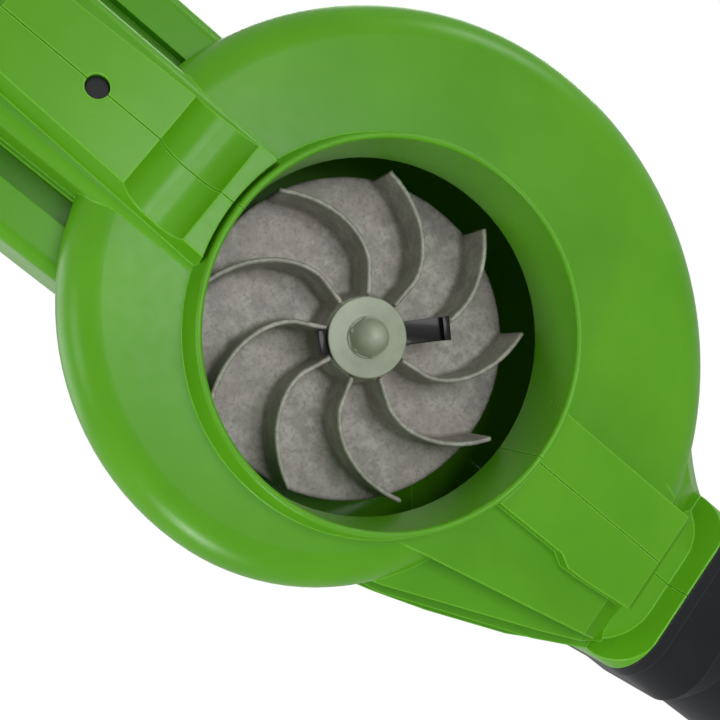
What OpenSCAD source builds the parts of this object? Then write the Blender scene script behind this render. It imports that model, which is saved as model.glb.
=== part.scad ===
// Cordless leaf blower vacuum with an open intake.
// The origin is the centre of the intake rim, on the fan axis. +Z runs up into the machine,
// +X runs forward along the blow tube and +Y is the machine's left side.

/* [Intake] */
// Radius of the intake bore
bore_r = 77.6; // [76.5:0.1:78.5]
// Wall thickness of the intake rim at its rounded lip
rim_t = 2.7; // [2:0.1:3.5]
// How far the rim's outside spreads between its lip and the scroll face
rim_draft = 3.2; // [1:0.1:5]
// Depth of the intake collar, from the rim
collar_len = 40.7; // [36:0.1:42]

/* [Scroll housing] */
// Height of the flat scroll face above the rim
face_z = 17; // [14:0.5:20]
// Height of the scroll chamber outside
scroll_h = 101; // [96:1:110]
// Wall thickness of the mouldings
wall = 2.8; // [2:0.1:3.2]
// Radius of the rounded scroll edge
edge_r = 17; // [12:0.5:20]
// Radius of the scroll's quarter turn at the front left
scroll_r1 = 103.6; // [102:0.1:108]
// Radius of the scroll's quarter turn at the back left
scroll_r2 = 120.5; // [118:0.1:124]
// Radius of the scroll's quarter turn at the back right
scroll_r3 = 143; // [139:0.1:146]
// Radius of the scroll's last turn, at the front right
scroll_r4 = 156.6; // [153:0.1:160]
// How far behind the fan axis the first quarter turn has its centre
scroll_back = 15.4; // [13:0.1:18]
// How far left of the fan axis the first quarter turn has its centre
scroll_left = 13.9; // [11:0.1:16]
// How far left of the fan axis the split plane and the handle stand
seam_y = 1.5; // [0:0.1:3]

/* [Outlet neck] */
// Height of the neck's axis above the rim
neck_z = 77; // [76:0.5:80]
// Half width of the neck outside
neck_w = 44; // [42:0.5:45]
// Half height of the neck outside
neck_h = 42; // [40:0.5:43]
// Radius of the neck's rounded corners
neck_corner = 29; // [26:0.5:32]
// Distance of the neck's open end
mouth_x = 188; // [186:1:192]
// Half width of the collar at the neck's open end
mouth_w = 46; // [45:0.5:47]
// Half height of the collar at the neck's open end
mouth_h = 51.5; // [50.5:0.5:53]
// Radius of the collar's rounded corners
mouth_corner = 22; // [20:0.5:24]

/* [Underside pads] */
// Half width of the front pad
front_pad_w = 24; // [20:0.5:26]
// Height of the front pad's face above the rim
front_pad_z = 9.5; // [7:0.5:12]
// Distance of the front pad's end from the fan axis
front_pad_x = 160; // [154:1:164]
// Half width of the rear pad beside the intake
rear_pad_w = 24; // [20:0.5:26]
// Half width of the rear pad at its far end
rear_pad_tip_w = 18; // [15:0.5:20]
// Length of the rear pad, measured from the fan axis
rear_pad_x = 188; // [180:1:200]
// Height of the rear pad's face beside the intake
rear_pad_z = 3; // [1:0.5:6]
// Depth of the hollow across the rear pad
pad_dip = 10; // [6:0.5:12]
// Half width of the keel under the rear pad
keel_w = 31; // [28:0.5:34]
// Height of the keel's face above the rim
keel_z = 15.5; // [12:0.5:16]

/* [Rear body] */
// Half width of the rear body
body_w = 62.5; // [60:0.5:66]
// Height of the rear body's underside above the rim
body_z = 46; // [44:1:50]
// Height of the rear body's top above the rim
body_top = 156; // [154:1:162]
// Distance of the rear body's open end behind the fan axis
body_x = 240; // [236:1:250]
// Radius of the rear body's long edges
body_edge = 6; // [5:0.5:8]

/* [Handle] */
// Radius of the handle bar
grip_r = 18; // [17:0.5:20]
// Height of the grip's axis above the rim
grip_z = 246; // [242:1:256]
// Distance of the handle's front post ahead of the fan axis
post_front = 78; // [77:1:82]
// Distance of the handle's rear post behind the fan axis
post_rear = 172; // [166:1:180]
// Bend radius of the handle's corners
bend_r = 42; // [38:1:46]
// Thickness of the soft grip sleeves
sleeve_t = 2; // [1.5:0.1:2.5]
// Length of the soft grip sleeves
sleeve_len = 100; // [80:1:102]

/* [Fan] */
// Radius of the fan disc
fan_r = 75; // [70:0.5:76]
// Thickness of the fan disc
disc_t = 3; // [2:0.1:3.5]
// Height of the fan blades
blade_h = 28; // [24:0.5:30]
// Thickness of the fan blades
blade_t = 2.2; // [2:0.1:3.5]
// Number of fan blades
blade_n = 9; // [7:1:11]
// Angle that a blade sweeps back from root to tip
blade_sweep = 35; // [20:1:45]
// Gap between the intake collar and the blades
blade_gap = 4.1; // [3:0.1:6]
// Radius of the clamping washer
washer_r = 17.9; // [15:0.1:19]
// Thickness of the clamping washer
washer_t = 2.2; // [1.5:0.1:3]
// Width of the shredder bar
bar_w = 10.6; // [9:0.1:12]
// Thickness of the shredder bar
bar_t = 2.5; // [2:0.1:3]
// Reach of the shredder bar's long arm
bar_long = 37.5; // [32:0.5:42]
// Reach of the shredder bar's short arm
bar_short = 22.5; // [20:0.5:26]
// Radius of the domed cap nut
nut_r = 9.5; // [8:0.1:10]

/* [Motor] */
// Radius of the motor can
can_r = 33; // [30:0.5:34]
// Length of the motor can
can_len = 70; // [66:1:74]
// Radius of the motor shaft
shaft_r = 4; // [3.5:0.1:4.5]
// Outside radius of the motor bearings
bearing_r = 11; // [10:0.5:12]
// Width of the motor bearings
bearing_w = 7; // [6:0.5:8]
// Radius of the well that holds the motor inside the scroll
well_r = 50; // [48:0.5:52]
// Radius of the motor chamber above the scroll
chamber_r = 56; // [54:0.5:57]
// Height of the vented motor cover
cover_h = 18; // [16:0.5:22]

/* [Battery] */
// Half width of the battery pack
pack_w = 39; // [38:0.5:40]
// Height of the battery pack
pack_h = 74; // [72:1:78]
// Length of the battery pack
pack_len = 126; // [120:1:132]
// Radius of a battery cell
cell_r = 9.2; // [9:0.1:9.3]
// Length of a battery cell
cell_len = 65; // [62:0.5:66]

/* [Blow tube] */
// Outside radius of the blow tube behind its coupling
tube_r = 40; // [39:0.5:42]
// Outside radius of the blow tube at its front end
tube_end_r = 36; // [34:0.5:38]
// Distance of the blow tube's front end from the fan axis
tube_x = 520; // [480:5:560]
// Wall thickness of the tubes
tube_wall = 2.4; // [2:0.1:3]
// Length of the coupling on the blow tube
coupling_len = 34; // [30:1:40]
// Length of the nozzle tube
nozzle_len = 370; // [320:5:400]
// Half width of the nozzle's mouth
nozzle_w = 46; // [42:1:50]
// Half height of the nozzle's mouth
nozzle_h = 16; // [14:1:20]

/* [Hidden] */
$fn = 96;

// Clearances
fit = 0.1;       // between pieces that are fixed to each other
slip = 0.3;      // between pieces that move past each other
running = 0.04;  // radial clearance of a shaft in its bearing
big = 400;

// Colours
green = [0.36, 0.64, 0.20];
black = [0.10, 0.11, 0.12];
casting = [0.55, 0.52, 0.50];
steel = [0.72, 0.73, 0.75];
copper = [0.72, 0.42, 0.22];
nylon = [0.62, 0.66, 0.56];
lever_orange = [0.85, 0.35, 0.10];

// Heights up the fan axis
fan_z0 = collar_len + blade_gap;
disc_z = fan_z0 + blade_h;
plate_gap = 3.7;
plate_t = 3;
plate_z = disc_z + disc_t + plate_gap;
motor_z = plate_z + plate_t;
can_wall = 2.5;
can_floor = 3;
can_top = motor_z + can_len;
cap_floor = 2;
cap_flange = 2;
scroll_top = face_z + scroll_h;
chamber_top = can_top + cap_flange + 11.5;
cover_top = chamber_top + cover_h;
hub_z = fan_z0 + 5.2;
hub_r = 18.3;
hub_root_r = 21;
washer_z = hub_z - bar_t - washer_t;
nut_h = 6;
shaft_tip_z = washer_z - nut_h;
fan2_z = can_top + cap_flange + bearing_w + 4.5;
fan2_h = 8;
shaft_top = fan2_z + fan2_h + 2;
end_boss_z = can_top + cap_flange;

// Scroll arcs: each quarter turn has its centre on the line through the joint before it
function unit(a) = [cos(a), sin(a)];
scroll_r = [scroll_r1, scroll_r2, scroll_r3, scroll_r4];
scroll_c1 = [-scroll_back, scroll_left];
scroll_c2 = [-scroll_back, scroll_left + scroll_r1 - scroll_r2];
scroll_c3 = [-scroll_back + scroll_r3 - scroll_r2, scroll_c2[1]];
scroll_c4 = [scroll_c3[0], scroll_c3[1] + scroll_r4 - scroll_r3];
scroll_c = [scroll_c1, scroll_c2, scroll_c3, scroll_c4];
scroll_end_a = 345;
scroll_rear = scroll_r3 - scroll_c3[0];
seam_gap = 0.3;

// Ledges along the left side of the duct, as [bottom, top, x where the ledge ends, outline]
ledge_top = face_z + scroll_h;
ledges = [
    [face_z, ledge_top - 14, 150, [[40, 65.5], [53, 64], [144, 47], [160, 44]]],
    [face_z + 13, ledge_top, 158, [[50, 86], [66, 81.5], [139, 55.5], [178, 40]]],
    [face_z + 31, ledge_top - 5, 172, [[56, 87], [74, 84.5], [148, 59], [181, 44]]],
    [face_z + 47, ledge_top - 10, 200, [[55, 91], [78, 85.5], [104, 78], [144, 64], [181, 46]]]];

// Handle and battery places
sleeve_x0 = -125;
slot_x0 = -24;
pivot_x = 36;
pivot_z = grip_z - 6;
pack_gap = 20.1;
pack_x = scroll_rear + pack_gap;
pack_z = 64;
pack_end = pack_x + pack_len;
bay_z0 = pack_z - slip;
bay_z1 = pack_z + pack_h + slip;
plunger_gap = 10.1;
plunger_x = scroll_rear + plunger_gap;
plunger_r = 4.3;
coupling_x = mouth_x + 0.4;
nozzle_x0 = tube_x - 30;
nozzle_x1 = nozzle_x0 + nozzle_len;

// Screws that join the halves: [x, z, half depth of the boss]
joints = [[-118, grip_z + 8, 12], [post_front, 186, 15.6], [-post_rear - 9, 190, 13.5],
    [-rear_pad_x - 2, 31, 29], [-104, 143, 38.2], [140, neck_z - neck_h - 3.5, 22]];

module bar_x(x0, x1, z, r1, r2) {
    translate([x0, seam_y, z]) rotate([0, 90, 0]) cylinder(h = x1 - x0, r1 = r1, r2 = r2);
}

module box(x0, x1, w, z0, z1) {
    translate([x0, seam_y - w, z0]) cube([x1 - x0, 2 * w, z1 - z0]);
}

module tube(r_out, r_in, h) {
    difference() {
        cylinder(h = h, r = r_out);
        translate([0, 0, -1]) cylinder(h = h + 2, r = r_in);
    }
}

module rounded_plate(w, h, r) {
    square([w - 2 * r, h], center = true);
    square([w, h - 2 * r], center = true);
    for (sx = [-1, 1], sy = [-1, 1]) translate([sx * (w / 2 - r), sy * (h / 2 - r)]) circle(r);
}

// A bar of the neck's section, inset all round, that runs along X
module neck_bar(x0, x1, w, h, r) {
    translate([x0, seam_y, neck_z]) rotate([90, 0, 90])
        linear_extrude(x1 - x0) rounded_plate(2 * w, 2 * h, r);
}

module neck_run(x0, x1, inset) {
    neck_bar(x0, x1, neck_w - inset, neck_h - inset, neck_corner - inset);
}

// A bar with rounded long edges that runs along X
module rounded_bar(x0, x1, w, z0, z1, r) {
    translate([x0, seam_y, (z0 + z1) / 2]) rotate([90, 0, 90])
        linear_extrude(x1 - x0) rounded_plate(2 * w, z1 - z0, r);
}

module scroll_profile(r, z0, z1, f) {
    translate([0, z0 + f]) square([r, z1 - z0 - 2 * f]);
    translate([0, z0]) square([r - f, z1 - z0]);
    translate([r - f, z0 + f]) circle(f);
    translate([r - f, z1 - f]) circle(f);
}

module scroll_turn(i, angle, inset) {
    translate([scroll_c[i][0], scroll_c[i][1], 0]) rotate([0, 0, 90 * i])
        rotate_extrude(angle = angle)
        scroll_profile(scroll_r[i] - inset, face_z + inset, scroll_top - inset, edge_r - inset);
}

// The scroll, set in by a wall thickness for its hollow
module scroll(inset) {
    for (i = [0:2]) scroll_turn(i, 90, inset);
    scroll_turn(3, scroll_end_a - 270, inset);
    translate([0, 0, face_z + inset]) cylinder(h = scroll_h - 2 * inset, r = bore_r + 6);
}

// One ledge beside the duct, cut back on a slope towards the neck
module ledge(l, inset) {
    difference() {
        translate([0, -inset, l[0] + inset]) linear_extrude(l[1] - l[0] - 2 * inset)
            polygon(concat(l[3], [[181, -20], [20, -60], [20, 60]]));
        translate([l[2] - inset, -big / 2, l[0]]) rotate([0, -40, 0])
            translate([0, 0, -big]) cube([big, big, big]);
    }
}

module fairing(inset) {
    for (l = ledges) ledge(l, inset);
}

module rim() {
    lip = rim_t / 2;
    base_r = bore_r + rim_t + rim_draft;
    rotate_extrude() {
        translate([bore_r + lip, lip]) circle(lip);
        polygon([[bore_r, lip], [bore_r + rim_t, lip], [base_r, face_z], [base_r, face_z + wall],
            [bore_r + wall, face_z + wall + 3], [bore_r + wall, collar_len], [bore_r, collar_len]]);
    }
}

// Collar that the blow tube butts against: its top and underside slope back to the neck
collar_slope = 1.78;
collar_back = (neck_h + 1.5) / collar_slope + 4.5;

module collar() {
    intersection() {
        neck_bar(mouth_x - collar_back, mouth_x, mouth_w, mouth_h, mouth_corner);
        translate([0, seam_y + big / 2, neck_z]) rotate([90, 0, 0]) linear_extrude(big)
            polygon([[mouth_x - collar_back, 0], [mouth_x, -mouth_h], [mouth_x + 1, -mouth_h],
                [mouth_x + 1, mouth_h], [mouth_x, mouth_h]]);
        translate([0, seam_y, -big / 2]) linear_extrude(big)
            polygon([[mouth_x - collar_back - 1, 1 - neck_w], [mouth_x - 3, -mouth_w - 1],
                [mouth_x + 1, -mouth_w - 1], [mouth_x + 1, mouth_w + 1], [mouth_x - 3, mouth_w + 1],
                [mouth_x - collar_back - 1, neck_w - 1]]);
    }
}

// Cheek that sweeps from the scroll's end into the collar's side, with its underside on a ramp
flare_r = 40.6;
flare_y = seam_y - mouth_w - 0.6 - flare_r;
flare_x = scroll_c4[0] + sqrt(pow(scroll_r4 + flare_r - 1, 2) - pow(scroll_c4[1] - flare_y, 2));
flare_start = scroll_c4[1] - scroll_r4 * (scroll_c4[1] - flare_y) / (scroll_r4 + flare_r);
cheek_ramp = [[110, 21.5], [148, 21.5], [156, 24.5], [160, 27.5], [164, 31], [168, 36], [172, 41],
    [mouth_x - 8, 47]];

module neck_cheek() {
    difference() {
        intersection() {
            linear_extrude(scroll_top - 6) difference() {
                polygon([[110, flare_start], [mouth_x - 8, flare_start],
                    [mouth_x - 8, seam_y + 34], [110, seam_y + 34]]);
                translate([flare_x, flare_y]) circle(flare_r);
            }
            translate([0, big / 2, 0]) rotate([90, 0, 0]) linear_extrude(big)
                polygon(concat(cheek_ramp, [[mouth_x - 8, big], [110, big]]));
        }
        translate([mouth_x - 40, seam_y - mouth_w - 0.5, face_z + 4.5]) rotate([0, 48.8, 136.8])
            translate([-big / 2, -big / 2, -big]) cube([big, big, big]);
    }
}

module front_pad() {
    ramp = 4;
    w = front_pad_w;
    difference() {
        intersection() {
            translate([0, seam_y + 2 * w, 0]) rotate([90, 0, 0]) linear_extrude(4 * w)
                polygon([[60, front_pad_z], [front_pad_x - ramp, front_pad_z],
                    [front_pad_x, front_pad_z + ramp], [front_pad_x, neck_z - neck_h + 6],
                    [60, neck_z - neck_h + 6]]);
            // The left flank bulges near the pad's middle
            translate([0, seam_y]) linear_extrude(big) polygon([[60, -w], [front_pad_x, -w],
                [front_pad_x, w], [132, w + 3], [122, w + 3.3], [116, w], [60, w]]);
        }
        cylinder(h = 2 * big, r = bore_r + rim_t + rim_draft, center = true);
    }
}

module rear_pad() {
    flank_tilt = 12;
    taper = atan((rear_pad_w - rear_pad_tip_w) / (rear_pad_x - 60));
    dip_r0 = 14;
    dip_r1 = 12;
    difference() {
        translate([-rear_pad_x, seam_y - keel_w, 0])
            cube([rear_pad_x - 60, 2 * keel_w, keel_z + 1]);
        // Flanks that taper in plan and slope outwards to the keel
        for (s = [0, 1]) translate([-60, seam_y, 0]) mirror([0, s, 0]) translate([0, rear_pad_w, 0])
            rotate([0, 0, taper]) rotate([-flank_tilt, 0, 0]) translate([-big, 0, -50])
            cube([2 * big, 100, 100]);
        // The hollow is flat inside and round at both ends
        translate([-104, 0, pad_dip - dip_r0]) rotate([90, 0, 0])
            cylinder(h = big, r = dip_r0, center = true);
        translate([-99, 0, pad_dip - dip_r1]) rotate([90, 0, 0])
            cylinder(h = big, r = dip_r1, center = true);
        translate([-104, -big / 2, -1]) cube([5, big, pad_dip + 1]);
        translate([-92, -big / 2, -1]) cube([big, big, rear_pad_z + 1]);
        cylinder(h = big, r = bore_r + rim_t + 2, center = true);
        translate([-rear_pad_x, -big / 2, 0]) rotate([0, -30, 0])
            translate([-big, 0, -1]) cube([big, big, 30]);
    }
}

// How far the keel runs on behind the rear pad
keel_reach = 24;

module keel(inset) {
    difference() {
        rounded_bar(-rear_pad_x - keel_reach + inset, -60, keel_w - inset, keel_z + inset, body_z + 20,
            6 - inset);
        translate([-big, -big / 2, body_z + wall]) cube([big, big, big]);
        translate([-rear_pad_x - keel_reach + inset, -big / 2, keel_z + inset]) rotate([0, -40, 0])
            translate([-big, 0, -1]) cube([big, big, 60]);
        cylinder(h = big, r = bore_r + rim_t + rim_draft, center = true);
    }
}

module rear_body() {
    difference() {
        rounded_bar(-body_x, -body_front, body_w, body_z, body_top, body_edge);
        // Slope down to the scroll
        translate([-body_front - 4, -big / 2, scroll_top + 6]) rotate([0, -32, 0])
            cube([big, big, big]);
    }
    // A bead round the open end
    rounded_bar(-body_x, -body_x + 12, body_w + 2, body_z - 2, body_top + 2, body_edge + 2);
    // Narrow bridge over the controller, up to the motor chamber
    rounded_bar(-body_front - 30, -30, bridge_w, scroll_top - 20, bridge_top, body_edge);
}

// The handle's bar along its centre line
module handle_path(r, z_front, z_rear) {
    bar_x(-post_rear + bend_r, post_front - bend_r, grip_z, r, r);
    for (side = [0, 1])
        translate([side ? -post_rear + bend_r : post_front - bend_r, seam_y, grip_z - bend_r])
            mirror([side, 0, 0]) rotate([90, 0, 0]) rotate_extrude(angle = 90)
            translate([bend_r, 0]) circle(r);
    translate([post_front, seam_y, z_front]) cylinder(h = grip_z - bend_r - z_front, r = r);
    translate([-post_rear, seam_y, z_rear]) cylinder(h = grip_z - bend_r - z_rear, r = r);
}

module handle_feet() {
    translate([post_front, seam_y, scroll_top - 4])
        cylinder(h = 40, r1 = grip_r + 10, r2 = grip_r);
    translate([-post_rear, seam_y, body_top - 12]) cylinder(h = 34, r1 = grip_r + 10, r2 = grip_r);
}

// Everything outside, before it is hollowed
module housing_outside() {
    scroll(0);
    fairing(0);
    neck_run(30, mouth_x - 1, 0);
    collar();
    neck_cheek();
    front_pad();
    rear_pad();
    keel(0);
    rear_body();
    translate([0, 0, scroll_top - wall]) cylinder(h = chamber_top - scroll_top + wall, r = chamber_r);
    handle_path(grip_r, scroll_top, body_top - 6);
    handle_feet();
    // Flat seat of the lever on the right side of the grip
    translate([lever_x, seam_y - 10, grip_z]) rotate([90, 0, 0])
        cylinder(h = lever_seat_y - 10, r = lever_r + 1.5);
}

// The air way: scroll and duct, without the collar and the motor well
module air_way() {
    difference() {
        union() {
            scroll(wall);
            neck_run(40, mouth_x + 1, wall);
        }
        translate([0, 0, motor_z]) cylinder(h = scroll_top, r = well_r);
        translate([-big, -big / 2, body_z]) cube([big - scroll_rear + 5, big, big]);
        tube(bore_r + wall, bore_r, collar_len);
    }
}

// Hollow between the fairing and the duct, and in the front pad
module fairing_space() {
    difference() {
        union() {
            fairing(wall);
            box(92, front_pad_x - wall - 2, front_pad_w - wall, front_pad_z + wall, face_z + 6);
        }
        scroll(0);
        neck_run(0, big, 0);
        // Walls where the scroll's first and last turns end
        translate([scroll_c1[0], scroll_c1[1] - wall, 0]) cube([scroll_r1 + 10, wall + 1, scroll_top]);
        translate([scroll_c4[0], scroll_c4[1], 0]) rotate([0, 0, scroll_end_a]) translate([0, -1, 0])
            cube([scroll_r4 + 2, wall + 1, scroll_top]);
    }
}

module motor_space() {
    difference() {
        union() {
            translate([0, 0, motor_z - 1]) cylinder(h = scroll_top - motor_z + 2, r = well_r - wall);
            translate([0, 0, scroll_top]) cylinder(h = chamber_top - scroll_top + 1,
                r = chamber_r - wall);
        }
        // Upper motor cradle with its air holes
        difference() {
            translate([0, 0, scroll_top - 4]) tube(well_r, can_r + fit, 3);
            for (a = [22.5:45:337.5]) rotate([0, 0, a]) translate([(can_r + well_r - wall) / 2, 0, 0])
                cylinder(h = big, r = 5.5);
        }
        // Bosses for the back plate's screws
        for (a = [45:90:315]) rotate([0, 0, a]) translate([plate_screw_r, 0, motor_z - 2])
            cylinder(h = 16, r = 5.6);
    }
    for (a = [45:90:315]) rotate([0, 0, a]) translate([plate_screw_r, 0, motor_z - 1])
        cylinder(h = 13, r = 2);
}

module rear_space() {
    difference() {
        rounded_bar(-body_x + 8, -scroll_rear - 2, body_w - wall, body_z + wall, body_top - wall,
            body_edge - wall);
        // Floor, ceiling, cheeks and front wall of the battery bay
        difference() {
            box(-body_x - 1, -pack_x + 4, pack_w + 4, bay_z0 - 3, bay_z1 + 3);
            box(-pack_x, -pack_x + 5, dock_w + fit, dock_z0 - fit, dock_z1 + fit);
        }
        // Backing of the grooves in the underside
        for (s = [-1, 1]) groove(s, wall);
        // Webs that carry the bay between the side walls
        for (x = [-body_x + 30, -pack_x - 10]) difference() {
            box(x, x + 3, body_w, body_z, body_top);
            box(x - 1, x + 4, pack_w + 3, bay_z0 - 2, bay_z1 + 20);
        }
    }
    // The bay itself
    box(-body_x - 1, -pack_x + 1, pack_w + slip, bay_z0, bay_z1);
    // Space for the controller, behind the motor chamber
    difference() {
        rounded_bar(-scroll_rear - 3, -40, bridge_w - wall, scroll_top + 3, bridge_top - wall,
            body_edge - wall);
        translate([0, 0, scroll_top]) cylinder(h = 100, r = chamber_r);
    }
    // Way for the motor leads
    for (s = [-1, 1]) translate([-chamber_r - 4, seam_y + s * 8, lead_z]) rotate([0, 90, 0])
        cylinder(h = 20, r = 3);
}

module handle_space() {
    difference() {
        handle_path(grip_r - 3, scroll_top + 4, body_top - 8);
        // The wall stays inside under the sleeves' recess
        bar_x(sleeve_x0 - 2, sleeve_x0 + sleeve_len + 2, grip_z, grip_r, grip_r);
        button_cup();
    }
    bar_x(sleeve_x0 - 3, sleeve_x0 + sleeve_len + 3, grip_z, grip_r - 4.8, grip_r - 4.8);
    // Recess for the sleeves
    difference() {
        bar_x(sleeve_x0, sleeve_x0 + sleeve_len, grip_z, grip_r + 4, grip_r + 4);
        bar_x(sleeve_x0 - 1, sleeve_x0 + sleeve_len + 1, grip_z, grip_r - sleeve_t, grip_r - sleeve_t);
    }
    // Slot for the trigger
    box(slot_x0, pivot_x + 6, trigger_w + slip, grip_z - grip_r - 4, grip_z - 8);
    // Hole for the button and for the lever's spindle
    translate([button_x, seam_y, button_floor + 2]) cylinder(h = 40, r = button_r + slip);
    translate([lever_x, seam_y - 8, grip_z]) rotate([90, 0, 0])
        cylinder(h = 40, r = spindle_r + running);
}

// Cup that guides the push button under the top of the grip
module button_cup() {
    translate([button_x, seam_y, button_floor]) cylinder(h = 40, r = button_r + 2.3);
}

body_front = 100;
bridge_w = 40;
bridge_top = body_top - 6;
lever_x = 12;
lever_r = 11;
lever_seat_y = 19.6;
spindle_r = 3;
button_x = 26;
button_r = 7;
button_floor = grip_z + 1;
trigger_w = 8;
plate_screw_r = 43;
board_w = 34;
board_x0 = -134;
board_z = scroll_top + 3 + fit;
lead_z = board_z + 1.6 + 2.3;
dock_w = 30;
dock_z0 = pack_z + 14;
dock_z1 = pack_z + 54;

// Pillars round the screws and pins, left standing inside the hollows
module pillars() {
    for (j = joints) translate([j[0], seam_y + j[2], j[1]]) rotate([90, 0, 0])
        cylinder(h = 2 * j[2], r = 4.6);
    for (s = [-1, 1]) translate([pivot_x, seam_y + s * (trigger_w + 0.5), pivot_z])
        rotate([-s * 90, 0, 0]) cylinder(h = 6, r = 5);
}

module screw_holes() {
    for (j = joints) translate([j[0], seam_y, j[1]]) rotate([90, 0, 0]) {
        translate([0, 0, -j[2] + 2]) cylinder(h = 2 * j[2], r = 2);
        translate([0, 0, j[2] - 4]) cylinder(h = 60, r = 3.9);
    }
    translate([pivot_x, seam_y + 14, pivot_z]) rotate([90, 0, 0]) cylinder(h = 28, r = 2.5);
    // Plunger hole through the rear pad and the keel's floor
    translate([-plunger_x, seam_y, -1]) cylinder(h = keel_z + wall + 3, r = plunger_r + slip);
}

module vents() {
    for (a = [-58:14.5:58]) if (abs(a) > 5) for (flip = [0, 180]) rotate([0, 0, a + flip + 90])
        translate([chamber_r - 8, -2, scroll_top + 12]) cube([20, 4, chamber_top - scroll_top - 20]);
}

module housing() {
    difference() {
        union() {
            difference() {
                union() {
                    difference() {
                        housing_outside();
                        translate([0, 0, -1]) cylinder(h = face_z + 4, r = bore_r + 1);
                    }
                    rim();
                }
                air_way();
                fairing_space();
                motor_space();
                rear_space();
                keel_space();
                handle_space();
                translate([0, 0, -1]) cylinder(h = collar_len + 2, r = bore_r);
            }
            intersection() {
                pillars();
                housing_outside();
            }
        }
        screw_holes();
        vents();
        for (s = [-1, 1]) groove(s, 0);
    }
}

// Groove along the rear body's underside, between the keel and the flank
module groove(s, grow) {
    translate([-body_x + 20 - grow, seam_y + s * 38 - 5 - grow, body_z - 10])
        cube([body_x - 140 + 2 * grow, 10 + 2 * grow, 10 + 8 + grow]);
}

module keel_space() {
    difference() {
        keel(wall);
        scroll(0);
        // Roof over the interlock switch
        box(-plunger_x - 22, -plunger_x + 30, keel_w, body_z, body_z + 20);
    }
    // Hollow in the rear pad, round the plunger's guide
    difference() {
        box(-rear_pad_x + 12, -122, rear_pad_tip_w - wall, wall, keel_z + wall + 1);
        translate([-plunger_x, seam_y, 0]) cylinder(h = 60, r = plunger_r + 4);
    }
}

module left_housing() {
    color(green) intersection() {
        housing();
        translate([-big, seam_y + seam_gap / 2, -big]) cube([2 * big, big, 2 * big]);
    }
}

module right_housing() {
    color(green) intersection() {
        housing();
        translate([-big, seam_y - seam_gap / 2 - big, -big]) cube([2 * big, big, 2 * big]);
    }
}

// Black vented cap over the motor, with radial slots
module motor_cover() {
    color(black) difference() {
        translate([0, 0, chamber_top + fit]) rotate_extrude()
            polygon([[0, cover_h], [chamber_r - 20, cover_h], [chamber_r - 6, cover_h - 6],
                [chamber_r, cover_h - 14], [chamber_r, 0], [0, 0]]);
        translate([0, 0, chamber_top - 1]) cylinder(h = cover_h - 12, r = chamber_r - wall);
        translate([0, 0, chamber_top - 1]) cylinder(h = cover_h - wall + 1, r = chamber_r - 21);
        for (a = [0:20:340]) rotate([0, 0, a]) translate([24, -2, chamber_top + 5])
            cube([26, 4, cover_h]);
    }
}

module fan_back_plate() {
    color(steel) translate([0, 0, plate_z]) difference() {
        cylinder(h = plate_t - fit, r = well_r + 2);
        translate([0, 0, -1]) cylinder(h = plate_t + 2, r = shaft_r + 3);
        for (a = [45:90:315]) rotate([0, 0, a]) translate([plate_screw_r, 0, -1])
            cylinder(h = plate_t + 2, r = 2.1);
        for (a = [0, 180]) rotate([0, 0, a]) translate([20, 0, -1])
            cylinder(h = plate_t + 2, r = 2.1);
    }
}

// A pan head screw that points up, with its head under z = 0
module screw_up(len, r, head_r) {
    translate([0, 0, -2]) cylinder(h = 2 - fit / 2, r = head_r);
    translate([0, 0, -1]) cylinder(h = len + 1, r = r);
}

module plate_screws() {
    color(steel) for (a = [45:90:315]) rotate([0, 0, a]) translate([plate_screw_r, 0, plate_z])
        screw_up(12, 1.9, 3.6);
}

module motor_screws() {
    color(steel) for (a = [0, 180]) rotate([0, 0, a]) translate([20, 0, plate_z])
        screw_up(plate_t + can_floor - 0.5, 1.9, 3.6);
}

module motor_can() {
    color(steel) translate([0, 0, motor_z]) difference() {
        union() {
            tube(can_r, can_r - can_wall, can_len);
            cylinder(h = can_floor, r = can_r - 1);
            cylinder(h = can_floor + bearing_w + 1, r = bearing_r + 3);
        }
        translate([0, 0, can_floor]) cylinder(h = big, r = bearing_r + fit / 2);
        translate([0, 0, -1]) cylinder(h = big, r = shaft_r + 2);
        for (a = [0, 180]) rotate([0, 0, a]) translate([20, 0, -1])
            cylinder(h = can_floor + 2, r = 2);
        // Cooling windows
        for (a = [45:90:315]) rotate([0, 0, a]) translate([can_r - 8, -6, 8]) cube([20, 12, 8]);
    }
}

module motor_magnets() {
    color([0.25, 0.25, 0.27]) for (s = [0, 180]) rotate([0, 0, s - 58])
        rotate_extrude(angle = 116) translate([armature_r + 0.8, motor_z + 17])
        square([can_r - can_wall - fit - armature_r - 0.8, 34]);
}

armature_r = 26;

module bearing(z) {
    color(steel) translate([0, 0, z]) difference() {
        cylinder(h = bearing_w, r = bearing_r);
        translate([0, 0, -1]) cylinder(h = bearing_w + 2, r = shaft_r + running);
        for (end = [-1, bearing_w - 0.6]) translate([0, 0, end])
            tube(bearing_r - 2, shaft_r + 2, 1.6);
    }
}

module front_bearing() { bearing(motor_z + can_floor + fit); }

module rear_bearing() { bearing(end_boss_z + fit); }

module motor_end_cap() {
    color(black) difference() {
        union() {
            translate([0, 0, can_top - cap_floor]) cylinder(h = cap_floor + 1, r = can_r - can_wall - fit);
            translate([0, 0, can_top + fit]) cylinder(h = cap_flange - fit, r = can_r);
            translate([0, 0, can_top]) cylinder(h = cap_flange + bearing_w + 1, r = bearing_r + 3);
        }
        translate([0, 0, end_boss_z]) cylinder(h = big, r = bearing_r + fit / 2);
        translate([0, 0, can_top - 10]) cylinder(h = big, r = shaft_r + 2);
        for (a = [45:90:315]) rotate([0, 0, a]) translate([21, 0, can_top - 10])
            cylinder(h = 20, r = 4);
    }
}

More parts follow.
